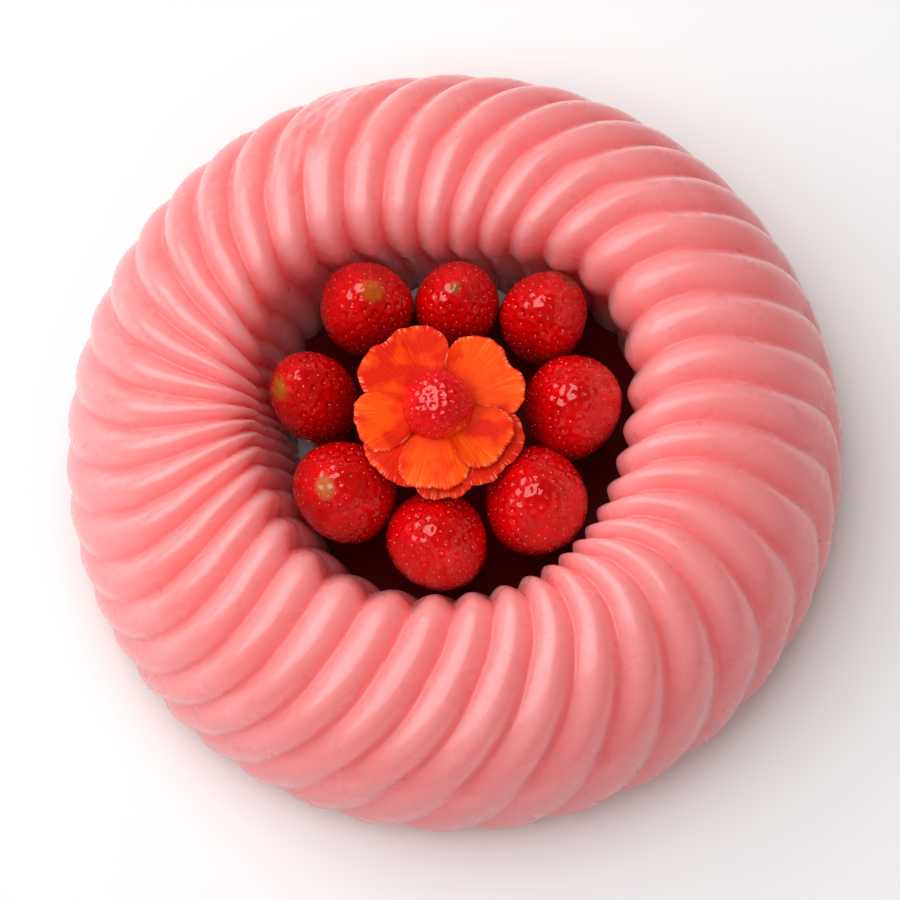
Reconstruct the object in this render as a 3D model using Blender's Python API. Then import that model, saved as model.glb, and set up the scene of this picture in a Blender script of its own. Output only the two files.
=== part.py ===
"""Strawberry jelly ring on a low plate, its hole filled with whole strawberries.

Metres, +Z up. The plate's centre is at the origin and its foot stands on z = 0.
The front of the dessert faces -Y. Everything is still: nothing moves on a joint.
"""
import math

import bpy
from mathutils import Matrix, Vector

MM = 0.001
GAP = 0.3 * MM                      # clearance kept between pieces that touch

# plate
PLATE_RADIUS = 106.0 * MM
PLATE_FOOT_RADIUS = 68.0 * MM
PLATE_TOP = 5.0 * MM
PLATE_EDGE = 2.4 * MM               # thickness of the plate's rounded edge

# jelly ring
FLUTES = 41
RING_OUTER = 112.0 * MM             # half of the widest width, half-way up a flute
RING_INNER = 53.1 * MM              # radius of the hole just above its foot
HOLE_POWER = 3.7                    # 2 is a round section towards the hole, more is squarer
# The hole isn't quite round: waves round it, each one's number, size and direction in degrees.
HOLE_WAVES = ((2, 0.4 * MM, 14), (3, 2.4 * MM, 79), (4, 1.9 * MM, 180))
CREST_RADIUS = 73.0 * MM
RING_CREST = 60.0 * MM              # height of the top of the ring
RING_WIDEST = 14.0 * MM             # height at which the ring is widest
RING_CONTACT = 103.0 * MM           # where the rolled-in outer edge meets the plate
HOLE_SHIFT = (-3.3 * MM, 9.5 * MM)  # the hole lies off the ring's centre
FOOT_SHIFT = (6.0 * MM, -4.0 * MM)  # its foot lies elsewhere again
FOOT_LIP = 2.0 * MM                 # the foot reaches in under the fruit by this
FOOT_Q = (0.27, 0.33, 0.5)          # where the shift starts, where the lip starts, the foot
FLUTE_DEPTH_RIM = 1.3 * MM
FLUTE_DEPTH_TOP = 3.8 * MM
FLUTE_DEPTH_HOLE = 1.8 * MM
POINTS_PER_FLUTE = 4
ROWS_ROLL = 3
ROWS_OUTSIDE = 8
ROWS_INSIDE = 10

# The flutes run over the ring in a slanting curve. It was measured in the photograph, on a
# plain arch with its crest at COURSE_CREST. Where the ring is higher than that arch it moves
# towards the viewer by VIEW_SLOPE, so that it stays on the same lines of sight. Angles are in
# degrees. q is the place on an arch: -0.5 at the widest rim, 0 on the crest, +0.5 at the foot.
COURSE_CREST = 82.15 * MM
COURSE_HEIGHT = 55.0 * MM
COURSE_POWER = 1.75
VIEW_SLOPE = 0.306
FLUTE_START = 42.5
FLUTE_TWIST = 18.6
FLUTE_TWIST_BEND = -35.2
LEAN_Q = (-0.33, 0.35)              # the uneven leaning stays even beyond these places
# Uneven leaning of the flutes: waves round the ring (1, 2 and 3 to a turn), each one's
# size and direction for the terms that are constant, grow with q and grow with q squared.
LEAN_WAVES = (
    (1, (5.8, 80), (11.0, 71), (22.4, -10)),
    (2, (3.15, -172), (16.4, 126), (7.6, 21)),
    (3, (1.36, 32), (10.1, -9), (10.9, -61)),
)

# Whole hulled strawberries, standing tip up: the foot's x and y, the widest radius, the
# height, and the way and angle of the lean, in millimetres and degrees.
BERRIES = (
    (-25.3, 39.3, 13.1, 48.0, -100, 3),
    (0.7, 40.9, 12.0, 45.0, -90, 3),
    (25.6, 36.7, 12.7, 47.0, -80, 3),
    (32.9, 9.3, 14.3, 50.0, -60, 4),
    (22.3, -18.5, 15.0, 51.0, -70, 5),
    (-4.9, -28.8, 14.4, 49.0, -90, 7),
    (-29.9, -15.9, 14.5, 51.5, -120, 5),
    (-36.6, 10.4, 11.9, 50.0, 175, 8),
)
BERRY_AROUND = 16
BERRY_ROWS = 12
BERRY_WIDEST = 0.56                 # height of the widest place, as a share of the whole
HULL_CUT = 0.45                     # radius of the cut foot, as a share of the widest

# strawberry cut into a flower, resting on the others
ROSE_CENTRE = (-4.6 * MM, 1.8 * MM)
ROSE_FOOT = 37.4 * MM
ROSE_WAIST = 49.4 * MM
ROSE_TOP = 63.4 * MM
ROSE_CORE_RADIUS = 10.5 * MM
ROSE_CORE_AROUND = 20
PETAL_ROOT = 6.0 * MM               # petals start inside the core
PETAL_THICK = 2.2 * MM
PETAL_RIM = 1.1 * MM
# Petals: the direction, half of the angle it spans, the length, the heights at the root and
# at the rim, and the depth of the notch in the rim, in degrees and millimetres.
PETALS = (
    (127, 46, 26.1, 48.9, 50.9, 0.10),
    (195, 30, 24.3, 50.9, 52.4, 0.03),
    (34, 45, 25.7, 48.9, 50.9, 0.12),
    (323, 33, 23.3, 51.9, 53.4, 0.05),
    (266, 33, 25.0, 51.4, 52.2, 0.04),
    (232, 33, 25.7, 49.2, 50.6, 0.03),
    (318, 40, 26.7, 48.9, 51.0, 0.05),
    (274, 26, 27.1, 48.9, 50.6, 0.03),
)

# name: colour, roughness, metallic
MATERIALS = {
    "glazed_plate": ((0.62, 0.62, 0.62), 0.25, 0.0),
    "pink_jelly": ((0.84, 0.19, 0.20), 0.22, 0.0),
    "strawberry_red": ((0.50, 0.006, 0.008), 0.25, 0.0),
    "strawberry_cut": ((0.85, 0.06, 0.008), 0.35, 0.0),
}


def clear_scene():
    for item in list(bpy.data.objects):
        bpy.data.objects.remove(item, do_unlink=True)


def make_material(name):
    colour, roughness, metallic = MATERIALS[name]
    material = bpy.data.materials.new(name)
    material.use_nodes = True
    shader = material.node_tree.nodes["Principled BSDF"]
    shader.inputs["Base Color"].default_value = (*colour, 1.0)
    shader.inputs["Roughness"].default_value = roughness
    shader.inputs["Metallic"].default_value = metallic
    material.diffuse_color = (*colour, 1.0)
    return material


def add_object(name, points, faces, material, parent=None, sharp_deg=40):
    mesh = bpy.data.meshes.new(name)
    mesh.from_pydata([tuple(p) for p in points], [], faces)
    mesh.validate()
    mesh.materials.append(material)
    mesh.shade_smooth()
    mesh.set_sharp_from_angle(angle=math.radians(sharp_deg))
    item = bpy.data.objects.new(name, mesh)
    bpy.context.scene.collection.objects.link(item)
    item.parent = parent
    return item


def smooth_step(low, high, value):
    t = min(1.0, max(0.0, (value - low) / (high - low)))
    return t * t * (3.0 - 2.0 * t)


def stitch(points_a, points_b):
    """Quads between two closed rows of point numbers."""
    count = len(points_a)
    return [(points_a[i], points_a[(i + 1) % count], points_b[(i + 1) % count], points_b[i])
            for i in range(count)]


def turned_solid(profile, around, place=None):
    """Solid turned about Z from (radius, height) pairs that run from the foot to the top.

    The first and the last pair are on the axis. place moves each point, if it is given.
    """
    points, rows = [], []
    for radius, height in profile[1:-1]:
        row = []
        for i in range(around):
            angle = 2.0 * math.pi * i / around
            row.append(len(points))
            points.append(Vector((radius * math.cos(angle), radius * math.sin(angle), height)))
        rows.append(row)
    faces = []
    for low, high in zip(rows, rows[1:]):
        faces += stitch(low, high)
    foot, top = len(points), len(points) + 1
    points += [Vector((0.0, 0.0, profile[0][1])), Vector((0.0, 0.0, profile[-1][1]))]
    first, last = rows[0], rows[-1]
    faces += [(foot, first[(i + 1) % around], first[i]) for i in range(around)]
    faces += [(top, last[i], last[(i + 1) % around]) for i in range(around)]
    if place:
        points = [place(p) for p in points]
    return points, faces


def build_plate(material, parent):
    """Low round plate with a flat foot, a rising underside and a rounded edge."""
    middle, half = PLATE_TOP - PLATE_EDGE / 2.0, PLATE_EDGE / 2.0
    profile = [(0.0, 0.0), (PLATE_FOOT_RADIUS * 0.5, 0.0), (PLATE_FOOT_RADIUS - 1.0 * MM, 0.0),
               (PLATE_FOOT_RADIUS, 0.6 * MM)]
    profile.append((PLATE_FOOT_RADIUS + 6.0 * MM, PLATE_TOP - PLATE_EDGE - 0.6 * MM))
    for step in range(5):
        angle = math.radians(-90.0 + 45.0 * step)
        profile.append((PLATE_RADIUS - half + half * math.cos(angle), middle + half * math.sin(angle)))
    profile += [(PLATE_RADIUS * 0.5, PLATE_TOP), (0.0, PLATE_TOP)]
    points, faces = turned_solid(profile, 44)
    return add_object("plate", points, faces, material, parent, 30)


def flute_angle(turn, q):
    """Direction, in radians, of the point that lies `turn` radians along the flute count."""
    even = FLUTE_START + FLUTE_TWIST * q + FLUTE_TWIST_BEND * q * q
    held = min(LEAN_Q[1], max(LEAN_Q[0], q))
    lean = 0.0
    for times, constant, linear, square in LEAN_WAVES:
        for power, (size, way) in enumerate((constant, linear, square)):
            lean += size * held ** power * math.cos(times * turn - math.radians(way))
    return turn + math.radians(even + lean)


def arch_height(q, rise, crest):
    low = RING_WIDEST if q < 0.0 else PLATE_TOP + GAP
    return low + (crest - low) * rise


def arch_point(q):
    """Radius and height of the ring's section at q: round outside, steep in the hole."""
    rise = math.cos(math.pi * q)
    half = RING_OUTER - CREST_RADIUS if q < 0.0 else CREST_RADIUS - RING_INNER
    power = 2.0 if q < 0.0 else HOLE_POWER
    reach = half * max(0.0, 1.0 - rise ** power) ** (1.0 / power)
    reach += FOOT_LIP * max(0.0, (q - FOOT_Q[1]) / (FOOT_Q[2] - FOOT_Q[1])) ** 2
    return Vector((CREST_RADIUS + (reach if q < 0.0 else -reach), arch_height(q, rise, RING_CREST)))


def course_place(radius):
    """The q and the height, on the arch of the flutes' course, that have this radius."""
    half = RING_OUTER - COURSE_CREST
    share = min(1.0, max(-1.0, (COURSE_CREST - radius) / half))
    if share < 0.0:
        q = math.asin(share) / math.pi
        return q, arch_height(q, math.cos(math.pi * q), COURSE_HEIGHT)
    rise = max(0.0, 1.0 - share ** COURSE_POWER) ** (1.0 / COURSE_POWER)
    return math.acos(rise) / math.pi, arch_height(0.0, rise, COURSE_HEIGHT)


def section_point(q):
    """Radius, height and outward direction of the ring's section at q on the arch."""
    point = arch_point(q)
    along = arch_point(min(0.5, q + 0.01)) - arch_point(max(-0.5, q - 0.01))
    outward = Vector((along[1], -along[0])).normalized()
    return point[0], point[1], outward if q < 0.5 else Vector((-1.0, 0.0))


def flute_depth(q):
    rim = FLUTE_DEPTH_RIM + (FLUTE_DEPTH_TOP - FLUTE_DEPTH_RIM) * smooth_step(-0.5, -0.2, q)
    return rim + (FLUTE_DEPTH_HOLE - FLUTE_DEPTH_TOP) * smooth_step(0.1, 0.5, q)


def flute_relief(count):
    """Rounded flutes with narrow valleys, about zero on average."""
    return abs(math.sin(math.pi * count)) - 0.6


def roll_point(share):
    """Radius and height of the rolled-in outer edge, share 0 at the plate, 1 at the widest."""
    v = math.pi / 2.0 * (1.0 - share)
    radius = RING_CONTACT + (RING_OUTER - RING_CONTACT) * math.cos(v)
    base = PLATE_TOP + GAP
    return radius, RING_WIDEST - (RING_WIDEST - base) * math.sin(v)


def hole_wave(angle):
    return sum(size * math.cos(times * angle - math.radians(way)) for times, size, way in HOLE_WAVES)


def ring_row(q, radius, height, relief):
    """One closed row of the ring. relief gives, for a flute count, how far out and up it goes."""
    place, level = course_place(radius)
    hole = (1.0 + math.sin(math.pi * place)) / 2.0
    foot = smooth_step(FOOT_Q[0], FOOT_Q[2], q)
    back = HOLE_SHIFT[1] * hole + FOOT_SHIFT[1] * foot - VIEW_SLOPE * (height - level) * (1.0 - foot)
    row = []
    for i in range(FLUTES * POINTS_PER_FLUTE):
        count = i / POINTS_PER_FLUTE
        angle = flute_angle(2.0 * math.pi * count / FLUTES, place)
        out, up = relief(count)
        reach = radius + out + hole * hole_wave(angle)
        row.append(Vector((reach * math.cos(angle) + HOLE_SHIFT[0] * hole + FOOT_SHIFT[0] * foot,
                           reach * math.sin(angle) + back, height + up)))
    return row


def arch_places():
    """Places q of the rows over the arch, closer together towards the foot of the hole."""
    outside = [0.5 * (step / ROWS_OUTSIDE - 1.0) for step in range(ROWS_OUTSIDE)]
    inside = [0.5 - 0.5 * (1.0 - step / ROWS_INSIDE) ** 1.35 for step in range(ROWS_INSIDE + 1)]
    return outside + inside


def build_ring(material, parent):
    """Fluted ring: the valleys of the flutes lie on columns of the mesh."""
    rows = []
    for step in range(ROWS_ROLL):
        share = step / ROWS_ROLL
        radius, height = roll_point(share)
        depth = FLUTE_DEPTH_RIM * smooth_step(0.0, 0.8, share)
        row = ring_row(-0.5, RING_OUTER, RING_WIDEST, lambda count: (depth * flute_relief(count), 0.0))
        shrink = Vector((radius / RING_OUTER, radius / RING_OUTER, 0.0))
        rows.append([Vector((p[0] * shrink[0], p[1] * shrink[1], height)) for p in row])
    for q in arch_places():
        radius, height, outward = section_point(q)
        depth = flute_depth(q)
        rows.append(ring_row(q, radius, height, lambda count: tuple(outward * depth * flute_relief(count))))
    columns = FLUTES * POINTS_PER_FLUTE
    numbers = [list(range(i * columns, (i + 1) * columns)) for i in range(len(rows))]
    faces = []
    for low, high in zip(numbers, numbers[1:] + numbers[:1]):
        faces += stitch(low, high)
    return add_object("jelly_ring", [p for row in rows for p in row], faces, material, parent, 50)


def berry_radius(share):
    """Radius at a share of the height, as a share of the widest radius."""
    if share < BERRY_WIDEST:
        return HULL_CUT + (1.0 - HULL_CUT) * math.sin(math.pi / 2.0 * share / BERRY_WIDEST) ** 0.85
    taper = (share - BERRY_WIDEST) / (1.0 - BERRY_WIDEST)
    return math.cos(math.pi / 2.0 * taper ** 1.25) ** 0.8


def berry_profile(radius, height):
    profile = [(0.0, 0.0), (HULL_CUT * 0.98 * radius, 0.0)]
    for step in range(1, BERRY_ROWS):
        share = 0.5 - 0.5 * math.cos(math.pi * (step + 0.35) / (BERRY_ROWS + 0.35))
        profile.append((berry_radius(share) * radius, share * height))
    return profile + [(0.0, height)]


def build_berry(number, material, parent):
    x, y, radius, height, lean_way, lean = BERRIES[number]
    swell = 0.9 * number

    def lobed(point):
        angle = math.atan2(point.y, point.x)
        high = smooth_step(0.0, 0.3, point.z / (height * MM))
        grow = 1.0 + high * (0.03 * math.cos(2.0 * angle - swell) + 0.02 * math.cos(3.0 * angle + 2.0 * swell))
        bend = math.tan(math.radians(lean)) * point.z
        way = math.radians(lean_way)
        return Vector((point.x * grow + bend * math.cos(way), point.y * grow + bend * math.sin(way), point.z))

    points, faces = turned_solid(berry_profile(radius * MM, height * MM), BERRY_AROUND, lobed)
    item = add_object("strawberry_%d" % (number + 1), points, faces, material, parent)
    item.location = (x * MM, y * MM, PLATE_TOP + GAP)
    return item


def rose_core_profile():
    """Domed tip above, rounded stem end below, where the petals join."""
    profile = [(0.0, ROSE_FOOT), (4.0 * MM, ROSE_FOOT)]
    for share in (0.25, 0.55, 0.85):
        radius = 4.0 * MM + (ROSE_CORE_RADIUS - 4.0 * MM) * math.sin(math.pi / 2.0 * share)
        profile.append((radius, ROSE_FOOT + (ROSE_WAIST - ROSE_FOOT) * share))
    for step in range(8):
        angle = math.pi / 2.0 * step / 8.0
        profile.append((ROSE_CORE_RADIUS * math.cos(angle) ** 0.9,
                        ROSE_WAIST + (ROSE_TOP - ROSE_WAIST) * math.sin(angle)))
    return profile + [(0.0, ROSE_TOP)]


def petal_outline(x, notch):
    """Length of a petal at x from -1 to 1 across it, as a share of its full length."""
    round_end = max(0.0, 1.0 - abs(x) ** 3.2) ** 0.5
    return 0.30 + 0.70 * round_end * (1.0 - notch * math.exp(-(x / 0.16) ** 2))


def petal_grid(row, face_side):
    way, half, length, root_z, rim_z, notch = PETALS[row]
    across, along = 10, 4
    grid = []
    for i in range(across + 1):
        x = 2.0 * i / across - 1.0
        for j in range(along + 1):
            t = j / along
            reach = PETAL_ROOT + (length * MM - PETAL_ROOT) * petal_outline(x, notch) * t
            angle = math.radians(way + half * x * (0.72 + 0.28 * t))
            height = root_z + (rim_z - root_z) * t ** 1.4 + 0.9 * t * math.sin(3.1 * x + 1.7 * row)
            thick = PETAL_RIM + (PETAL_THICK - PETAL_RIM) * (1.0 - t * t)
            grid.append(Vector((reach * math.cos(angle), reach * math.sin(angle),
                                height * MM + face_side * thick / 2.0)))
    return grid, across, along


def petal_mesh(row):
    """Thin wavy petal. Its upper and lower faces are split into triangles alike."""
    top, across, along = petal_grid(row, 1.0)
    under, _, _ = petal_grid(row, -1.0)
    step, below = along + 1, len(top)
    faces = []
    for i in range(across):
        for j in range(along):
            a, b = i * step + j, (i + 1) * step + j
            c, d = b + 1, a + 1
            faces += [(a, c, b), (a, d, c)]
            faces += [(a + below, b + below, c + below), (a + below, c + below, d + below)]
    rim = [i * step for i in range(across + 1)]
    rim += [across * step + j for j in range(1, along + 1)]
    rim += [i * step + along for i in range(across - 1, -1, -1)]
    rim += [j for j in range(along - 1, 0, -1)]
    for a, b in zip(rim, rim[1:] + rim[:1]):
        faces += [(a, b, b + below), (a, b + below, a + below)]
    return top + under, faces


def join_pieces(body, pieces):
    """One Boolean union of the body with a collection of closed pieces."""
    group = bpy.data.collections.new("joined")
    for piece in pieces:
        group.objects.link(piece)
    union = body.modifiers.new("join", "BOOLEAN")
    union.operation = "UNION"
    union.operand_type = "COLLECTION"
    union.collection = group
    union.solver = "MANIFOLD"
    ready = body.evaluated_get(bpy.context.evaluated_depsgraph_get())
    mesh = bpy.data.meshes.new_from_object(ready)
    body.modifiers.remove(union)
    body.data = mesh
    for piece in pieces:
        bpy.data.objects.remove(piece, do_unlink=True)
    bpy.data.collections.remove(group)
    return body


def build_rose(material, parent):
    points, faces = turned_solid(rose_core_profile(), ROSE_CORE_AROUND)
    rose = add_object("strawberry_rose", points, faces, material, parent)
    petals = []
    for row in range(len(PETALS)):
        points, faces = petal_mesh(row)
        petals.append(add_object("petal_%d" % row, points, faces, material))
    join_pieces(rose, petals)
    rose.data.transform(Matrix.Translation((ROSE_CENTRE[0], ROSE_CENTRE[1], 0.0)))
    return rose


def main():
    clear_scene()
    look = {name: make_material(name) for name in MATERIALS}
    whole = bpy.data.objects.new("jelly_dessert", None)
    bpy.context.scene.collection.objects.link(whole)
    build_plate(look["glazed_plate"], whole)
    build_ring(look["pink_jelly"], whole)
    for number in range(len(BERRIES)):
        build_berry(number, look["strawberry_red"], whole)
    build_rose(look["strawberry_cut"], whole)
    bpy.context.view_layer.update()


main()
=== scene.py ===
"""Fine shapes, materials, light and camera for the strawberry jelly ring.

Metres, +Z up, the same frame as the CAD. The pieces come from the named sizes below, which
repeat the ones of the solids.
"""
import math

import bpy
import numpy as np
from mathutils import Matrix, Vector


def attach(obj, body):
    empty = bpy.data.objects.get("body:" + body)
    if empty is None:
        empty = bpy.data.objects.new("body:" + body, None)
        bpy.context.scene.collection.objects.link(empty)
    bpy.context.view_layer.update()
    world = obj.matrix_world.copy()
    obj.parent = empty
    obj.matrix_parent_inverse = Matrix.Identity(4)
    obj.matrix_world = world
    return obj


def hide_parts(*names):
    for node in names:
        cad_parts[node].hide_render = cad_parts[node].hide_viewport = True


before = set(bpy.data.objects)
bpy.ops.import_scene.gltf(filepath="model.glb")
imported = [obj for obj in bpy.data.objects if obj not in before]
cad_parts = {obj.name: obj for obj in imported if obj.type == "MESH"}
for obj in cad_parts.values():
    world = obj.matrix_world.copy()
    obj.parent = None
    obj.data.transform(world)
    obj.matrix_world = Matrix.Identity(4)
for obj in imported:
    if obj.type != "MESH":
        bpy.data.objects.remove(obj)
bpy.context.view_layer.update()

MM = 0.001

# camera: above the front of the dish, with its lean off the vertical
CAMERA_LEAN = math.radians(17.0)
CAMERA_DISTANCE = 1.300
CAMERA_TARGET = (-0.0013, 0.0047, 0.0)
CAMERA_LENS = 176.9

# the same sizes as the solids
PLATE_RADIUS, PLATE_FOOT_RADIUS, PLATE_TOP, PLATE_EDGE = 106.0 * MM, 68.0 * MM, 5.0 * MM, 2.4 * MM
GAP = 0.3 * MM
FLUTES = 41
RING_OUTER, RING_INNER = 112.0 * MM, 53.1 * MM
HOLE_POWER = 3.7
# The wall of the hole isn't round: waves of (times round the ring, size, direction in degrees).
HOLE_WAVES = ((2, 0.4 * MM, 14), (3, 2.4 * MM, 79), (4, 1.9 * MM, 180))
CREST_RADIUS, RING_CREST, RING_WIDEST, RING_CONTACT = 73.0 * MM, 60.0 * MM, 14.0 * MM, 103.0 * MM
HOLE_SHIFT = (-3.3 * MM, 9.5 * MM)
FOOT_SHIFT, FOOT_LIP, FOOT_Q = (6.0 * MM, -4.0 * MM), 2.0 * MM, (0.27, 0.33, 0.5)
FLUTE_DEPTH_RIM, FLUTE_DEPTH_TOP, FLUTE_DEPTH_HOLE = 1.3 * MM, 3.8 * MM, 1.8 * MM
COURSE_CREST, COURSE_HEIGHT, COURSE_POWER, VIEW_SLOPE = 82.15 * MM, 55.0 * MM, 1.75, 0.306
FLUTE_START, FLUTE_TWIST, FLUTE_TWIST_BEND = 42.5, 18.6, -35.2
# The flutes lean unevenly round the ring, by waves that change with q between two limits: for each
# wave, its times round the ring and the (size, direction) in degrees of its constant, linear and
# square part in q.
LEAN_Q = (-0.33, 0.35)
LEAN_WAVES = (
    (1, (5.8, 80), (11.0, 71), (22.4, -10)),
    (2, (3.15, -172), (16.4, 126), (7.6, 21)),
    (3, (1.36, 32), (10.1, -9), (10.9, -61)),
)
# Whole fruit: x, y, radius and height in millimetres, then the direction and the amount of the
# lean in degrees.
BERRIES = (
    (-25.3, 39.3, 13.1, 48.0, -100, 3),
    (0.7, 40.9, 12.0, 45.0, -90, 3),
    (25.6, 36.7, 12.7, 47.0, -80, 3),
    (32.9, 9.3, 14.3, 50.0, -60, 4),
    (22.3, -18.5, 15.0, 51.0, -70, 5),
    (-4.9, -28.8, 14.4, 49.0, -90, 7),
    (-29.9, -15.9, 14.5, 51.5, -120, 5),
    (-36.6, 10.4, 11.9, 50.0, 175, 8),
)
BERRY_WIDEST, HULL_CUT = 0.56, 0.45
ROSE_CENTRE = (-4.6 * MM, 1.8 * MM)
ROSE_FOOT, ROSE_WAIST, ROSE_TOP = 37.4 * MM, 49.4 * MM, 63.4 * MM
ROSE_CORE_RADIUS = 10.5 * MM
PETAL_ROOT, PETAL_THICK, PETAL_RIM = 6.0 * MM, 2.2 * MM, 1.1 * MM
# Petals: direction and half width in degrees, length, root height and rim height in millimetres,
# and the depth of the notch as a share of the length.
PETALS = (
    (127, 46, 26.1, 48.9, 50.9, 0.10),
    (195, 30, 24.3, 50.9, 52.4, 0.03),
    (34, 45, 25.7, 48.9, 50.9, 0.12),
    (323, 33, 23.3, 51.9, 53.4, 0.05),
    (266, 33, 25.0, 51.4, 52.2, 0.04),
    (232, 33, 25.7, 49.2, 50.6, 0.03),
    (318, 40, 26.7, 48.9, 51.0, 0.05),
    (274, 26, 27.1, 48.9, 50.6, 0.03),
)

# fine sizes that only this file has

# The valley of the ring that fades on the outside: its number, its width in flutes, the relief that
# fills it and the share of that filling. The crinkle beside it is a share of the flute depth.
FADED_VALLEY, FADED_WIDTH, FADED_RELIEF, FADED_SHARE = 8, 0.42, 0.42, 0.9
CRINKLE_WIDTH, CRINKLE_SIZE = 0.8, 0.07
# the share of the flutes' depth that lies below the plain section
FLUTE_SUNK = 0.6
RING_COLUMNS_PER_FLUTE, RING_ROLL_ROWS, RING_ARCH_ROWS = 18, 8, 88
BERRY_AROUND, BERRY_ROWS, BERRY_SWELL = 168, 104, (0.03, 0.02)
# first numbers of the random draws
BERRY_SEED, ROSE_SEED, PETAL_SEED = 10, 40, 70
TIP_RADIUS = 0.02 * MM
PIT_SPACING, PIT_RADIUS, PIT_DEPTH = 3.5 * MM, 1.1 * MM, 0.30 * MM
# The raised lip of a pit: its height as a share of the depth, then its place, its width and the
# reach of the whole pit in pit radii.
LIP_HEIGHT, LIP_PLACE, LIP_WIDTH, PIT_REACH = 0.22, 1.6, 0.45, 2.6
SEED_SIZE, SEED_SUNK = (0.37 * MM, 0.14 * MM, 0.13 * MM), 0.72
# The spiral of the seeds: its step, the uneven part of a step in radians, and the area of one seed
# as a share of the square of the spacing.
SPIRAL_STEP, SPIRAL_UNEVEN, SEED_AREA = math.radians(137.508), 0.05, 0.866
ROSE_AROUND, ROSE_ROWS, ROSE_FOOT_RADIUS = 128, 84, 4.0 * MM
ROSE_PIT_SPACING, ROSE_PIT_RADIUS, ROSE_PIT_DEPTH = 2.7 * MM, 0.8 * MM, 0.42 * MM
PLATE_AROUND, PLATE_FOOT_ROUND = 192, 1.0 * MM
PETAL_ACROSS, PETAL_ALONG = 96, 56
PETAL_WIDEN, PETAL_FRILL, PETAL_RIPPLE = 1.08, 0.7, 0.022 * MM
FRILL_SIZES, FRILL_TIMES, VEIN_TIMES = (0.012, 0.010, 0.008), (9.0, 17.0, 31.0), (55.0, 83.0, 131.0)
# how red each petal is, from 0 to 1
PETAL_REDNESS = (0.60, 0.35, 0.25, 0.30, 0.15, 0.65, 0.90, 0.80)
# Unripe and bruised spots: the berry's number, the direction round it in degrees, the share of
# its height, the radius in millimetres and the colour.
SPOTS = (
    (1, 348, 0.97, 3.6, (0.55, 0.10, 0.008)),
    (2, 216, 0.99, 2.0, (0.36, 0.09, 0.02)),
    (3, 48, 0.80, 3.4, (0.20, 0.03, 0.008)),
    (7, 213, 0.93, 3.4, (0.50, 0.15, 0.035)),
    (8, 198, 0.85, 3.8, (0.42, 0.13, 0.006)),
)
# The orange facet of the flower's tip: its place from the flower's middle, its radius and colour.
FACET_PLACE = (5.6 * MM, -7.4 * MM, 52.0 * MM)
FACET_RADIUS, FACET_COLOUR = 4.6 * MM, (1.0, 0.09, 0.002)
# dark and light tone of the fruit skin, and of the flower's tip, which is lighter than the skin:
# painted light for its bright top
SKIN_TONES = ((0.50, 0.0005, 0.0015), (0.72, 0.001, 0.002))
LIT_TIP_TONES = ((0.66, 0.002, 0.006), (0.88, 0.006, 0.008))
# Painted shade: a dull dark red covers the plate inside this circle, but for the unshaded places.
SHADE_CENTRE, SHADE_RADIUS = (0.0, 4.0 * MM, PLATE_TOP), 64.0 * MM
UNSHADED_PLACES = (
    ((-12.0 * MM, 54.5 * MM, PLATE_TOP), 7.5 * MM),
    ((14.0 * MM, 55.5 * MM, PLATE_TOP), 7.5 * MM),
    ((-47.0 * MM, 3.0 * MM, PLATE_TOP), 7.0 * MM),
)
# Lights: the direction round the dish and the height angle in degrees, the width in metres, the
# power in watts, whether glossy surfaces mirror it, and the colour.
LIGHT_AIM, LIGHT_DISTANCE = (0.0, 0.0, 0.03), 1.2
LIGHTS = {
    "softbox": (163.0, 62.0, 1.8, 23.5, True, (1.0, 1.0, 1.0)),
    "fill_back": (110.0, 25.0, 0.8, 2.4, False, (1.0, 1.0, 1.0)),
    "fill_left": (210.0, 25.0, 0.8, 1.5, False, (1.0, 1.0, 1.0)),
    "fill_front": (322.0, 52.0, 0.9, 3.0, False, (1.0, 0.92, 0.91)),
}
WORLD_STRENGTH, FLOOR_REACH = 0.05, 3.0


# meshes

def mesh_object(name, points, faces, material, uv=None):
    """Object with one smooth mesh. uv gives a pair of numbers for each point, if it is given."""
    mesh = bpy.data.meshes.new(name)
    mesh.from_pydata(points.tolist(), [], faces)
    mesh.update()
    mesh.shade_smooth()
    mesh.materials.append(material)
    if uv is not None:
        layer = mesh.uv_layers.new(name="UVMap")
        corner_points = np.zeros(len(mesh.loops), dtype=np.int32)
        mesh.loops.foreach_get("vertex_index", corner_points)
        layer.uv.foreach_set("vector", uv[corner_points].astype(np.float32).ravel())
    item = bpy.data.objects.new(name, mesh)
    bpy.context.scene.collection.objects.link(item)
    return item


def finish_piece(item, node):
    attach(item, "root")
    if node:
        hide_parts(node)


def ring_faces(rows, columns, close_rows):
    """Quads of a grid of points that is closed across its columns."""
    faces = []
    for r in range(rows if close_rows else rows - 1):
        low, high = r * columns, ((r + 1) % rows) * columns
        faces += [(low + c, low + (c + 1) % columns, high + (c + 1) % columns, high + c)
                  for c in range(columns)]
    return faces


def turned_grid(radii, heights, around):
    """Points of a turned shape, a row for each radius, from the foot to the top."""
    angle = np.arange(around) * 2.0 * math.pi / around
    x = np.outer(radii, np.cos(angle))
    y = np.outer(radii, np.sin(angle))
    z = np.outer(heights, np.ones(around))
    return np.stack([x, y, z], axis=-1)


def capped_faces(rows, columns):
    """Faces of a turned grid with a point added on the axis at each end."""
    faces = ring_faces(rows, columns, False)
    foot, top, last = rows * columns, rows * columns + 1, (rows - 1) * columns
    faces += [(foot, (c + 1) % columns, c) for c in range(columns)]
    faces += [(top, last + c, last + (c + 1) % columns) for c in range(columns)]
    return faces


def smooth_step(low, high, value):
    t = np.clip((value - low) / (high - low), 0.0, 1.0)
    return t * t * (3.0 - 2.0 * t)


# jelly ring

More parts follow.
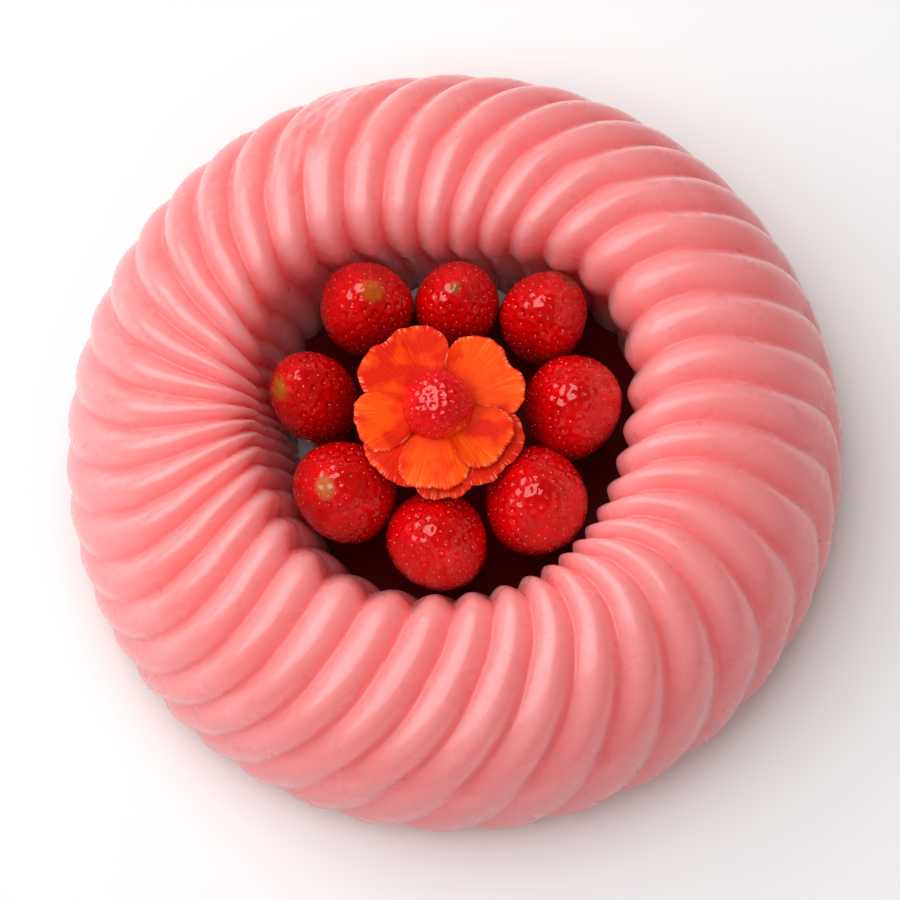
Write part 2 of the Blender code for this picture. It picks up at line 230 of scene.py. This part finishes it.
def flute_angle(turn, q):
    even = FLUTE_START + FLUTE_TWIST * q + FLUTE_TWIST_BEND * q * q
    held = np.clip(q, *LEAN_Q)
    lean = 0.0
    for times, constant, linear, square in LEAN_WAVES:
        for power, (size, way) in enumerate((constant, linear, square)):
            lean = lean + size * held ** power * np.cos(times * turn - math.radians(way))
    return turn + np.radians(even + lean)


def arch_height(q, rise, crest):
    low = RING_WIDEST if q < 0.0 else PLATE_TOP + GAP
    return low + (crest - low) * rise


def arch_point(q):
    """Radius and height of the ring's section at q: round outside, steep in the hole."""
    rise = math.cos(math.pi * q)
    half = RING_OUTER - CREST_RADIUS if q < 0.0 else CREST_RADIUS - RING_INNER
    power = 2.0 if q < 0.0 else HOLE_POWER
    reach = half * max(0.0, 1.0 - rise ** power) ** (1.0 / power)
    reach += FOOT_LIP * max(0.0, (q - FOOT_Q[1]) / (FOOT_Q[2] - FOOT_Q[1])) ** 2
    return Vector((CREST_RADIUS + (reach if q < 0.0 else -reach), arch_height(q, rise, RING_CREST)))


def course_place(radius):
    """The q and the height, on the arch of the flutes' course, that have this radius."""
    share = min(1.0, max(-1.0, (COURSE_CREST - radius) / (RING_OUTER - COURSE_CREST)))
    if share < 0.0:
        q = math.asin(share) / math.pi
        return q, arch_height(q, math.cos(math.pi * q), COURSE_HEIGHT)
    rise = max(0.0, 1.0 - share ** COURSE_POWER) ** (1.0 / COURSE_POWER)
    return math.acos(rise) / math.pi, arch_height(0.0, rise, COURSE_HEIGHT)


def section_point(q):
    point = arch_point(q)
    along = arch_point(min(0.5, q + 0.01)) - arch_point(max(-0.5, q - 0.01))
    outward = Vector((along[1], -along[0])).normalized()
    return point[0], point[1], outward if q < 0.5 else Vector((-1.0, 0.0))


def flute_depth(q):
    rim = FLUTE_DEPTH_RIM + (FLUTE_DEPTH_TOP - FLUTE_DEPTH_RIM) * smooth_step(-0.5, -0.2, q)
    return rim + (FLUTE_DEPTH_HOLE - FLUTE_DEPTH_TOP) * smooth_step(0.1, 0.5, q)


def flute_relief(count):
    return np.abs(np.sin(math.pi * count)) - FLUTE_SUNK


def hole_wave(angle):
    return sum(size * np.cos(times * angle - math.radians(way)) for times, size, way in HOLE_WAVES)


def uneven_relief(count, q):
    """Relief of the flutes. One valley fades on the outside and leaves a broad, crinkled flute."""
    relief = flute_relief(count)
    off = count - FADED_VALLEY
    near = np.exp(-(off / FADED_WIDTH) ** 2) * (1.0 - smooth_step(-0.12, 0.06, q))
    crinkle = CRINKLE_SIZE * np.sin(7.0 * count + 46.0 * q) * np.sin(19.0 * count - 31.0 * q)
    crinkled = smooth_step(-0.4, -0.3, q) * (1.0 - smooth_step(-0.1, 0.05, q))
    wide = np.exp(-(off / CRINKLE_WIDTH) ** 2) * crinkled
    return relief + near * (FADED_RELIEF - relief) * FADED_SHARE + wide * crinkle


def ring_row(q, radius, height, count, out, up):
    """One closed row of the ring. out and up are the relief of each column."""
    place, level = course_place(radius)
    hole = (1.0 + math.sin(math.pi * place)) / 2.0
    foot = smooth_step(FOOT_Q[0], FOOT_Q[2], q)
    back = HOLE_SHIFT[1] * hole + FOOT_SHIFT[1] * foot
    back -= VIEW_SLOPE * (height - level) * (1.0 - foot)
    angle = flute_angle(2.0 * math.pi * count / FLUTES, place)
    reach = radius + out + hole * hole_wave(angle)
    return np.stack([reach * np.cos(angle) + HOLE_SHIFT[0] * hole + FOOT_SHIFT[0] * foot,
                     reach * np.sin(angle) + back, height + up], axis=-1)


def build_ring(material):
    """The ring, with the ridges and the place across the section of each point in its UV map."""
    columns = FLUTES * RING_COLUMNS_PER_FLUTE
    count = np.arange(columns) / RING_COLUMNS_PER_FLUTE
    rows, across = [], []
    for step in range(RING_ROLL_ROWS):
        share = step / RING_ROLL_ROWS
        v = math.pi / 2.0 * (1.0 - share)
        radius = RING_CONTACT + (RING_OUTER - RING_CONTACT) * math.cos(v)
        height = RING_WIDEST - (RING_WIDEST - PLATE_TOP - GAP) * math.sin(v)
        out = FLUTE_DEPTH_RIM * uneven_relief(count, -0.5) * smooth_step(0.0, 0.8, share)
        row = ring_row(-0.5, RING_OUTER, RING_WIDEST, count, out, 0.0 * out)
        row[:, :2] *= radius / RING_OUTER
        row[:, 2] = height
        rows.append(row)
        across.append(0.1 * share)
    for q in ring_places():
        radius, height, outward = section_point(q)
        out = flute_depth(q) * uneven_relief(count, q)
        rows.append(ring_row(q, radius, height, count, outward[0] * out, outward[1] * out))
        across.append(0.1 + 0.9 * (q + 0.5))
    points = np.array(rows)
    ridge = np.tile(np.abs(np.sin(math.pi * count)), (len(rows), 1))
    uv = np.stack([ridge, np.tile(np.array(across)[:, None], (1, columns))], axis=-1)
    item = mesh_object("jelly_ring_fine", points.reshape(-1, 3), ring_faces(len(rows), columns, True),
                       material, uv.reshape(-1, 2))
    finish_piece(item, "jelly_ring")


def ring_places():
    """Places q of the rows over the arch, closer together towards the foot of the hole."""
    half = RING_ARCH_ROWS // 2
    outside = [0.5 * (step / half - 1.0) for step in range(half)]
    return outside + [0.5 - 0.5 * (1.0 - step / half) ** 1.35 for step in range(half + 1)]


# strawberries

def berry_radius(share):
    grown = np.sin(math.pi / 2.0 * np.clip(share / BERRY_WIDEST, 0, 1)) ** 0.85
    lower = HULL_CUT + (1.0 - HULL_CUT) * grown
    taper = np.clip((share - BERRY_WIDEST) / (1.0 - BERRY_WIDEST), 0.0, 1.0)
    return np.where(share < BERRY_WIDEST, lower, np.cos(math.pi / 2.0 * taper ** 1.25) ** 0.8)


def even_rows(radii, heights, rows):
    """Row places with even steps along a turned profile."""
    length = np.concatenate([[0.0], np.cumsum(np.hypot(np.diff(radii), np.diff(heights)))])
    return np.interp(np.linspace(0.0, length[-1], rows), length, np.arange(len(radii)))


def pit_places(radii, heights, spacing, seed):
    """Profile steps and angles of the seeds: a spiral with the same area for each seed."""
    strip = np.hypot(np.diff(radii), np.diff(heights)) * (radii[1:] + radii[:-1]) * math.pi
    area = np.concatenate([[0.0], np.cumsum(strip)])
    total = int(area[-1] / (SEED_AREA * spacing * spacing))
    rng = np.random.default_rng(seed)
    place = (np.arange(total) + 0.5) / total * area[-1]
    step = np.interp(place, area, np.arange(len(radii)))
    angle = np.arange(total) * SPIRAL_STEP + rng.normal(0.0, SPIRAL_UNEVEN, total)
    return step, angle


def pitted(points, normals, centres, radius, depth):
    """Points moved inward in a small round pit at each centre, with a soft raised lip."""
    flat, flat_normals = points.reshape(-1, 3), normals.reshape(-1, 3)
    shift = np.zeros(len(flat))
    for centre in centres:
        near = np.where(np.abs(flat - centre).max(axis=1) < PIT_REACH * radius)[0]
        away = np.linalg.norm(flat[near] - centre, axis=1) / radius
        lip = LIP_HEIGHT * depth * np.exp(-((away - LIP_PLACE) / LIP_WIDTH) ** 2)
        shift[near] += -depth * np.exp(-away ** 2) + lip
    return (flat + flat_normals * shift[:, None]).reshape(points.shape)


def grid_normals(points):
    around = np.roll(points, -1, axis=1) - np.roll(points, 1, axis=1)
    along = np.gradient(points, axis=0)
    normal = np.cross(around, along)
    return normal / np.maximum(np.linalg.norm(normal, axis=-1, keepdims=True), 1e-12)


def seed_shape():
    """Unit egg: a pointed oval with eight sides."""
    rows = ((-0.85, 0.45), (-0.35, 0.95), (0.25, 0.9), (0.75, 0.5))
    points = [(-1.0, 0.0, 0.0)]
    for along, wide in rows:
        points += [(along, wide * math.cos(a), wide * math.sin(a))
                   for a in (math.pi / 4.0 * i for i in range(8))]
    points.append((1.0, 0.0, 0.0))
    faces = [(0, 1 + i, 1 + (i + 1) % 8) for i in range(8)]
    for row in range(3):
        low, high = 1 + 8 * row, 9 + 8 * row
        faces += [(low + i, high + i, high + (i + 1) % 8, low + (i + 1) % 8) for i in range(8)]
    end = len(points) - 1
    faces += [(end, 25 + (i + 1) % 8, 25 + i) for i in range(8)]
    return np.array(points), faces


def build_seeds(name, centres, normals, tips, material, size, seed):
    """One mesh of all the seeds of a fruit, each lying in its pit and pointing to the tip."""
    unit, unit_faces = seed_shape()
    rng = np.random.default_rng(seed)
    points, faces = [], []
    for centre, normal, tip in zip(centres, normals, tips):
        along = tip - normal * np.dot(tip, normal)
        along /= max(np.linalg.norm(along), 1e-9)
        side = np.cross(normal, along)
        grow = rng.uniform(0.8, 1.15)
        local = unit * np.array(size) * grow
        faces += [tuple(i + len(points) * len(unit) for i in face) for face in unit_faces]
        points.append(centre + local[:, :1] * along + local[:, 1:2] * side + local[:, 2:] * normal)
    item = mesh_object(name, np.concatenate(points), faces, material)
    finish_piece(item, None)


def build_fruit(name, node, radii, heights, around, rows, place, materials, spacing, pit, seed):
    """Turned fruit with pits and seeds. place bends the plain shape into its final form."""
    steps = even_rows(radii, heights, rows)
    index = np.arange(len(radii))
    grid = turned_grid(np.interp(steps, index, radii), np.interp(steps, index, heights), around)
    plain = place(grid)
    normals = grid_normals(plain)
    where, angle = pit_places(radii, heights, spacing, seed)
    r, z = np.interp(where, index, radii), np.interp(where, index, heights)
    centres = place(np.stack([r * np.cos(angle), r * np.sin(angle), z], axis=-1))
    points = pitted(plain, normals, centres, pit[0], pit[1])
    foot = place(np.array([[0.0, 0.0, heights[0]]]))
    top = place(np.array([[0.0, 0.0, heights[-1]]]))
    body = mesh_object(name, np.concatenate([points.reshape(-1, 3), foot, top]),
                       capped_faces(rows, around), materials[0])
    finish_piece(body, node)
    row_at = np.interp(where, steps, np.arange(rows)).round().astype(int)
    column_at = (angle / (2.0 * math.pi) * around).round().astype(int) % around
    seed_normals = normals[row_at, column_at]
    tips = np.tile(top - foot, (len(centres), 1))
    seen = (where > steps[2]) & (where < steps[-3])
    sunk = centres - seed_normals * pit[1] * SEED_SUNK
    build_seeds(name + "_seeds", sunk[seen], seed_normals[seen], tips[seen], materials[1],
                SEED_SIZE, seed)


def build_berry(number, materials):
    x, y, radius, height, lean_way, lean = BERRIES[number]
    swell, way = 0.9 * number, math.radians(lean_way)
    share = np.linspace(0.0, 1.0, 400)
    radii = np.concatenate([[HULL_CUT * 0.5 * radius], berry_radius(share) * radius]) * MM
    heights = np.concatenate([[0.0], share * height]) * MM
    radii[-1] = TIP_RADIUS

    def place(points):
        angle = np.arctan2(points[..., 1], points[..., 0])
        high = smooth_step(0.0, 0.3, points[..., 2] / (height * MM))
        oval = BERRY_SWELL[0] * np.cos(2.0 * angle - swell)
        grow = 1.0 + high * (oval + BERRY_SWELL[1] * np.cos(3.0 * angle + 2.0 * swell))
        bend = math.tan(math.radians(lean)) * points[..., 2]
        return np.stack([points[..., 0] * grow + bend * math.cos(way) + x * MM,
                         points[..., 1] * grow + bend * math.sin(way) + y * MM,
                         points[..., 2] + PLATE_TOP + GAP], axis=-1)

    node = "strawberry_%d" % (number + 1)
    build_fruit(node + "_fine", node, radii, heights, BERRY_AROUND, BERRY_ROWS, place,
                materials, PIT_SPACING, (PIT_RADIUS, PIT_DEPTH), BERRY_SEED + number)


# strawberry flower

def build_rose_core(materials):
    low = np.linspace(0.0, 0.98, 30)
    high = np.linspace(0.0, math.pi / 2.0, 90)
    lower = ROSE_FOOT_RADIUS + (ROSE_CORE_RADIUS - ROSE_FOOT_RADIUS) * np.sin(math.pi / 2.0 * low)
    radii = np.concatenate([lower, ROSE_CORE_RADIUS * np.cos(high) ** 0.9])
    heights = np.concatenate([ROSE_FOOT + (ROSE_WAIST - ROSE_FOOT) * low,
                              ROSE_WAIST + (ROSE_TOP - ROSE_WAIST) * np.sin(high)])
    radii[-1] = TIP_RADIUS

    def place(points):
        return points + np.array([ROSE_CENTRE[0], ROSE_CENTRE[1], 0.0])

    build_fruit("strawberry_rose_core", "strawberry_rose", radii, heights,
                ROSE_AROUND, ROSE_ROWS, place, materials, ROSE_PIT_SPACING,
                (ROSE_PIT_RADIUS, ROSE_PIT_DEPTH), ROSE_SEED)


def petal_outline(x, notch):
    round_end = np.maximum(0.0, 1.0 - np.abs(x) ** 3.2) ** 0.5
    return 0.30 + 0.70 * round_end * (1.0 - notch * np.exp(-(x / 0.16) ** 2))


def petal_surface(row, side):
    """Points of one face of a petal, and its (across, along) pairs."""
    way, half, length, root_z, rim_z, notch = PETALS[row]
    x, t = np.meshgrid(np.linspace(-1.0, 1.0, PETAL_ACROSS + 1),
                       np.linspace(0.0, 1.0, PETAL_ALONG + 1), indexing="ij")
    rng = np.random.default_rng(PETAL_SEED + row)
    waves = zip(FRILL_SIZES, FRILL_TIMES, rng.uniform(0.0, 6.3, 3))
    frill = 1.0 + PETAL_FRILL * sum(a * np.sin(f * x + p) for a, f, p in waves) * t ** 3
    reach = PETAL_ROOT + (length * MM - PETAL_ROOT) * petal_outline(x, notch) * t * frill
    angle = np.radians(way + PETAL_WIDEN * half * x * (0.72 + 0.28 * t))
    height = root_z + (rim_z - root_z) * t ** 1.4 + 0.9 * t * np.sin(3.1 * x + 1.7 * row)
    thick = PETAL_RIM + (PETAL_THICK - PETAL_RIM) * (1.0 - t * t)
    thick = thick * np.sqrt(np.clip(1.0 - np.maximum(t, np.abs(x)) ** 24, 0.0, 1.0))
    waves = zip(VEIN_TIMES, rng.uniform(0.0, 6.3, 3))
    veins = sum(np.sin(f * angle + p) for f, p in waves)
    ripple = PETAL_RIPPLE * veins * smooth_step(0.1, 0.5, t) * (side > 0)
    points = np.stack([reach * np.cos(angle) + ROSE_CENTRE[0], reach * np.sin(angle) + ROSE_CENTRE[1],
                       height * MM + side * thick / 2.0 + ripple], axis=-1)
    return points, np.stack([x * 0.5 + 0.5, t], axis=-1)


def build_petal(row, material):
    top, uv = petal_surface(row, 1.0)
    under, _ = petal_surface(row, -1.0)
    step, below = PETAL_ALONG + 1, top.shape[0] * top.shape[1]
    faces = []
    for i in range(PETAL_ACROSS):
        for j in range(PETAL_ALONG):
            a, b = i * step + j, (i + 1) * step + j
            faces += [(a, a + 1, b + 1, b), (a + below, b + below, b + 1 + below, a + 1 + below)]
    rim = [i * step for i in range(PETAL_ACROSS + 1)]
    rim += [PETAL_ACROSS * step + j for j in range(1, PETAL_ALONG + 1)]
    rim += [i * step + PETAL_ALONG for i in range(PETAL_ACROSS - 1, -1, -1)]
    rim += [j for j in range(PETAL_ALONG - 1, 0, -1)]
    faces += [(a, b, b + below, a + below) for a, b in zip(rim, rim[1:] + rim[:1])]
    points = np.concatenate([top.reshape(-1, 3), under.reshape(-1, 3)])
    pairs = np.concatenate([uv.reshape(-1, 2), uv.reshape(-1, 2) + np.array([2.0, 0.0])])
    item = mesh_object("rose_petal_%d" % (row + 1), points, faces, material, pairs)
    finish_piece(item, None)


# plate

def build_plate(material):
    middle, half = PLATE_TOP - PLATE_EDGE / 2.0, PLATE_EDGE / 2.0
    flat = PLATE_FOOT_RADIUS - PLATE_FOOT_ROUND
    profile = [(0.2 * MM, 0.0), (flat, 0.0)]
    profile += [(flat + PLATE_FOOT_ROUND * math.sin(a), PLATE_FOOT_ROUND * (1.0 - math.cos(a)))
                for a in np.radians((30, 60, 90))]
    profile.append((PLATE_FOOT_RADIUS + 6.0 * MM, PLATE_TOP - PLATE_EDGE - 0.6 * MM))
    profile += [(PLATE_RADIUS - half + half * math.cos(a), middle + half * math.sin(a))
                for a in np.radians(np.linspace(-90, 90, 13))]
    profile += [(PLATE_RADIUS * share, PLATE_TOP) for share in (0.95, 0.6, 0.3, 0.1)]
    radii, heights = np.array(profile).T
    points = turned_grid(radii, heights, PLATE_AROUND)
    ends = np.array([[0.0, 0.0, 0.0], [0.0, 0.0, PLATE_TOP]])
    item = mesh_object("plate_fine", np.concatenate([points.reshape(-1, 3), ends]),
                       capped_faces(len(radii), PLATE_AROUND), material)
    item.data.set_sharp_from_angle(angle=math.radians(35.0))
    finish_piece(item, "plate")


# materials

class Nodes:
    """Short way to make shader nodes."""

    def __init__(self, name):
        self.material = bpy.data.materials.new(name)
        self.material.use_nodes = True
        self.tree = self.material.node_tree
        self.shader = self.tree.nodes["Principled BSDF"]

    def add(self, kind, **values):
        node = self.tree.nodes.new(kind)
        for key, value in values.items():
            setattr(node, key, value)
        return node

    def link(self, source, target):
        self.tree.links.new(source, target)

    def place(self):
        return self.add("ShaderNodeTexCoord").outputs["Object"]

    def noise(self, vector, scale, detail=3.0, roughness=0.5):
        node = self.add("ShaderNodeTexNoise")
        node.inputs["Scale"].default_value = scale
        node.inputs["Detail"].default_value = detail
        node.inputs["Roughness"].default_value = roughness
        self.link(vector, node.inputs["Vector"])
        return node.outputs["Fac"]

    def span(self, value, low, high, to_low=0.0, to_high=1.0):
        node = self.add("ShaderNodeMapRange")
        limits = {"From Min": low, "From Max": high, "To Min": to_low, "To Max": to_high}
        for key, number in limits.items():
            node.inputs[key].default_value = number
        self.link(value, node.inputs["Value"])
        return node.outputs["Result"]

    def mix(self, factor, one, two):
        node = self.add("ShaderNodeMix", data_type="RGBA")
        self.link(factor, node.inputs["Factor"])
        for value, target in ((one, node.inputs["A"]), (two, node.inputs["B"])):
            if isinstance(value, tuple):
                target.default_value = (*value, 1.0)
            else:
                self.link(value, target)
        return node.outputs["Result"]

    def maths(self, kind, one, two):
        node = self.add("ShaderNodeMath", operation=kind)
        for value, target in ((one, node.inputs[0]), (two, node.inputs[1])):
            if isinstance(value, (int, float)):
                target.default_value = value
            else:
                self.link(value, target)
        return node.outputs["Value"]

    def away(self, place, centre):
        node = self.add("ShaderNodeVectorMath", operation="DISTANCE")
        self.link(place, node.inputs[0])
        node.inputs[1].default_value = centre
        return node.outputs["Value"]

    def bump(self, height, strength, distance):
        node = self.add("ShaderNodeBump")
        node.inputs["Strength"].default_value = strength
        node.inputs["Distance"].default_value = distance
        self.link(height, node.inputs["Height"])
        self.link(node.outputs["Normal"], self.shader.inputs["Normal"])

    def set(self, **values):
        for key, value in values.items():
            self.shader.inputs[key.replace("_", " ")].default_value = value


def jelly_material():
    """Milky pink jelly, with painted shade: redder in the valleys between the flutes, more so towards
    the hole, and low on the outside.
    """
    n = Nodes("pink_jelly")
    place = n.place()
    cloud = n.span(n.noise(place, 35.0, 3.0), 0.3, 0.7)
    colour = n.mix(cloud, (0.995, 0.29, 0.29), (0.998, 0.34, 0.34))
    parts = n.add("ShaderNodeSeparateXYZ")
    n.link(n.add("ShaderNodeTexCoord").outputs["UV"], parts.inputs["Vector"])
    ridge, across = parts.outputs["X"], parts.outputs["Y"]
    # Painted shade: the valleys between the flutes turn a deeper red, more so towards the hole.
    low = n.span(ridge, 0.0, 0.7, 1.0, 0.0)
    valley_shade = n.maths("MULTIPLY", low, n.span(across, 0.3, 0.8, 0.45, 0.8))
    colour = n.mix(valley_shade, colour, (0.985, 0.15, 0.16))
    # Painted shade: the low outside of the ring turns a deeper red.
    colour = n.mix(n.span(across, 0.10, 0.38, 0.8, 0.0), colour, (0.985, 0.19, 0.20))
    n.link(colour, n.shader.inputs["Base Color"])
    rough = n.span(n.noise(place, 90.0, 2.0), 0.3, 0.7, 0.24, 0.34)
    n.link(rough, n.shader.inputs["Roughness"])
    n.bump(n.noise(place, 90.0, 2.0), 0.08, 0.4 * MM)
    n.set(Subsurface_Weight=0.85, Subsurface_Radius=(1.0, 0.045, 0.045), Subsurface_Scale=0.036,
          Specular_IOR_Level=0.4, Coat_Weight=0.55, Coat_Roughness=0.08)
    return n.material


def berry_material(name, tones, spots):
    """Glossy red fruit skin with a (place, radius, colour) for each odd spot."""
    n = Nodes(name)
    place = n.place()
    tone = n.span(n.noise(place, 160.0, 3.0), 0.3, 0.7)
    colour = n.mix(tone, *tones)
    for where, size, tint in spots:
        uneven = n.maths("MULTIPLY", n.noise(place, 420.0, 3.0), size * 0.9)
        reach = n.maths("ADD", n.away(place, where), uneven)
        colour = n.mix(n.span(reach, size, size * 1.7, 1.0, 0.0), colour, tint)
    n.link(colour, n.shader.inputs["Base Color"])
    rough = n.span(n.noise(place, 500.0, 2.0), 0.3, 0.7, 0.08, 0.16)
    n.link(rough, n.shader.inputs["Roughness"])
    n.bump(n.noise(place, 700.0, 2.0), 0.05, 0.1 * MM)
    n.set(Subsurface_Weight=0.12, Subsurface_Radius=(1.0, 0.06, 0.05), Subsurface_Scale=0.002,
          Specular_IOR_Level=0.1, Coat_Weight=1.0, Coat_Roughness=0.02, Coat_IOR=1.66)
    return n.material


def seed_material():
    n = Nodes("strawberry_seed")
    tone = n.span(n.noise(n.place(), 330.0, 1.0), 0.38, 0.62)
    colour = n.mix(tone, (1.0, 0.52, 0.28), (0.50, 0.03, 0.015))
    n.link(colour, n.shader.inputs["Base Color"])
    n.set(Roughness=0.3)
    return n.material


def flesh_material(name, redness):
    """Cut fruit: orange with pale veins outward, redder at the root, the sides and the rim."""
    n = Nodes(name)
    uv = n.add("ShaderNodeTexCoord").outputs["UV"]
    parts = n.add("ShaderNodeSeparateXYZ")
    n.link(uv, parts.inputs["Vector"])
    across, along = parts.outputs["X"], parts.outputs["Y"]
    stretch = n.add("ShaderNodeMapping")
    stretch.inputs["Scale"].default_value = (34.0, 1.6, 1.0)
    n.link(uv, stretch.inputs["Vector"])
    veins = n.span(n.noise(stretch.outputs["Vector"], 1.0, 3.0, 0.6), 0.50, 0.75)
    outer = n.span(along, 0.25, 0.8)
    flesh = n.mix(n.maths("MULTIPLY", veins, outer), (1.0, 0.072, 0.001), (1.0, 0.17, 0.02))
    cloud = n.span(n.noise(n.place(), 110.0, 2.0), 0.60 - 0.4 * redness, 0.76 - 0.4 * redness)
    flesh = n.mix(n.maths("MULTIPLY", cloud, 0.9), flesh, (0.68, 0.008, 0.001))
    fold = n.span(n.maths("ABSOLUTE", n.maths("SUBTRACT", across, 0.5), 0.0), 0.34, 0.5)
    flesh = n.mix(n.maths("MULTIPLY", fold, 0.7), flesh, (0.55, 0.006, 0.001))
    inner = n.span(along, 0.18, 0.45, 1.0, 0.0)
    flesh = n.mix(n.maths("MULTIPLY", inner, 0.6), flesh, (0.55, 0.006, 0.001))
    uneven = n.maths("MULTIPLY", n.noise(n.place(), 600.0, 2.0), 0.05)
    rim = n.span(n.maths("ADD", along, uneven), 0.985, 1.02)
    colour = n.mix(rim, flesh, (0.75, 0.02, 0.008))
    pale = n.span(n.noise(stretch.outputs["Vector"], 2.3, 2.0), 0.56, 0.66)
    crinkle = n.maths("MULTIPLY", n.span(along, 0.90, 0.97), pale)
    colour = n.mix(n.maths("MULTIPLY", crinkle, 0.7), colour, (1.0, 0.36, 0.16))
    colour = n.mix(n.span(across, 1.4, 1.6), colour, (0.62, 0.008, 0.004))
    n.link(colour, n.shader.inputs["Base Color"])
    n.bump(veins, 0.12, 0.2 * MM)
    n.set(Roughness=0.45, Subsurface_Weight=0.2, Subsurface_Radius=(1.0, 0.2, 0.04),
          Subsurface_Scale=0.002, Specular_IOR_Level=0.08, Coat_Weight=0.0)
    return n.material


def plate_material():
    """Pale glaze, with dull dark red painted shade under the fruit."""
    n = Nodes("plate_glaze")
    place = n.place()
    tone = n.span(n.noise(place, 25.0, 2.0), 0.3, 0.7)
    glaze = n.mix(tone, (0.60, 0.61, 0.63), (0.68, 0.68, 0.69))
    wobble = n.maths("MULTIPLY", n.noise(place, 90.0, 3.0), 8.0 * MM)
    # Painted shade: the plate under the fruit turns dull dark red, except at the unshaded places.
    reach = n.maths("SUBTRACT", SHADE_RADIUS, n.away(place, SHADE_CENTRE))
    for centre, radius in UNSHADED_PLACES:
        reach = n.maths("MINIMUM", reach, n.maths("SUBTRACT", n.away(place, centre), radius))
    painted_shade = n.span(n.maths("ADD", reach, wobble), 3.0 * MM, 5.0 * MM)
    n.link(n.mix(painted_shade, glaze, (0.10, 0.002, 0.003)), n.shader.inputs["Base Color"])
    n.link(n.span(painted_shade, 0.0, 1.0, 0.5, 0.0), n.shader.inputs["Coat Weight"])
    n.link(n.span(painted_shade, 0.0, 1.0, 0.3, 0.02), n.shader.inputs["Specular IOR Level"])
    n.bump(n.noise(place, 60.0, 2.0), 0.05, 0.2 * MM)
    n.set(Roughness=0.3, Coat_Roughness=0.1)
    return n.material


def floor_material():
    n = Nodes("floor")
    tone = n.span(n.noise(n.place(), 6.0, 2.0), 0.3, 0.7)
    n.link(n.mix(tone, (0.86, 0.86, 0.86), (0.88, 0.88, 0.88)), n.shader.inputs["Base Color"])
    n.set(Roughness=0.9)
    return n.material


# stage

def build_floor():
    corners = ((-1.0, -1.0, 0.0), (1.0, -1.0, 0.0), (1.0, 1.0, 0.0), (-1.0, 1.0, 0.0))
    points = FLOOR_REACH * np.array(corners)
    floor = mesh_object("floor", points, [(0, 1, 2, 3)], floor_material())


def direction(around, up, far):
    """Place of a light from its direction round the dish, its height angle and its distance."""
    around, up = math.radians(around), math.radians(up)
    level = far * math.cos(up)
    return level * math.cos(around), level * math.sin(around), far * math.sin(up)


def add_light(name, around, up, width, power, mirrored, colour):
    light = bpy.data.lights.new(name, "AREA")
    light.shape = "RECTANGLE"
    light.size = light.size_y = width
    light.energy = power
    light.color = colour
    item = bpy.data.objects.new(name, light)
    place = direction(around, up, LIGHT_DISTANCE)
    item.location = place
    item.rotation_mode = "QUATERNION"
    item.rotation_quaternion = (Vector(LIGHT_AIM) - Vector(place)).to_track_quat("-Z", "Y")
    item.visible_glossy = mirrored
    bpy.context.scene.collection.objects.link(item)


def build_camera():
    data = bpy.data.cameras.new("camera")
    data.lens, data.sensor_width = CAMERA_LENS, 36.0
    data.clip_start, data.clip_end = 0.05, 20.0
    item = bpy.data.objects.new("camera", data)
    back = Vector((0.0, -math.sin(CAMERA_LEAN), math.cos(CAMERA_LEAN)))
    item.location = Vector(CAMERA_TARGET) + back * CAMERA_DISTANCE
    item.rotation_mode = "QUATERNION"
    item.rotation_quaternion = (-back).to_track_quat("-Z", "Y")
    bpy.context.scene.collection.objects.link(item)
    bpy.context.scene.camera = item


def build_world():
    world = bpy.data.worlds.new("studio")
    world.use_nodes = True
    shade = world.node_tree.nodes["Background"]
    shade.inputs["Color"].default_value = (1.0, 1.0, 1.0, 1.0)
    shade.inputs["Strength"].default_value = WORLD_STRENGTH
    bpy.context.scene.world = world
    bpy.context.scene.view_settings.view_transform = "Standard"


def spot_place(number, around, share):
    """Point on a berry's skin, from its direction round the berry and its share of the height."""
    x, y, radius, height, lean_way, lean = BERRIES[number]
    reach, bend = float(berry_radius(share)) * radius, math.tan(math.radians(lean)) * height * share
    around, lean_way = math.radians(around), math.radians(lean_way)
    return ((x + reach * math.cos(around) + bend * math.cos(lean_way)) * MM,
            (y + reach * math.sin(around) + bend * math.sin(lean_way)) * MM,
            PLATE_TOP + GAP + height * share * MM)


def main():
    build_camera()
    build_world()
    build_floor()
    for name, values in LIGHTS.items():
        add_light(name, *values)
    build_ring(jelly_material())
    build_plate(plate_material())
    seeds = seed_material()
    for number in range(len(BERRIES)):
        spots = [(spot_place(number, around, share), size * MM, tint)
                 for berry, around, share, size, tint in SPOTS if berry == number + 1]
        skin = berry_material("strawberry_skin_%d" % (number + 1), SKIN_TONES, spots)
        build_berry(number, (skin, seeds))
    place = (ROSE_CENTRE[0] + FACET_PLACE[0], ROSE_CENTRE[1] + FACET_PLACE[1], FACET_PLACE[2])
    # Painted light: the flower's tip takes lighter skin tones than the other fruit.
    tip = berry_material("rose_skin", LIT_TIP_TONES, [(place, FACET_RADIUS, FACET_COLOUR)])
    build_rose_core((tip, seeds))
    for row in range(len(PETALS)):
        build_petal(row, flesh_material("strawberry_flesh_%d" % (row + 1), PETAL_REDNESS[row]))


main()
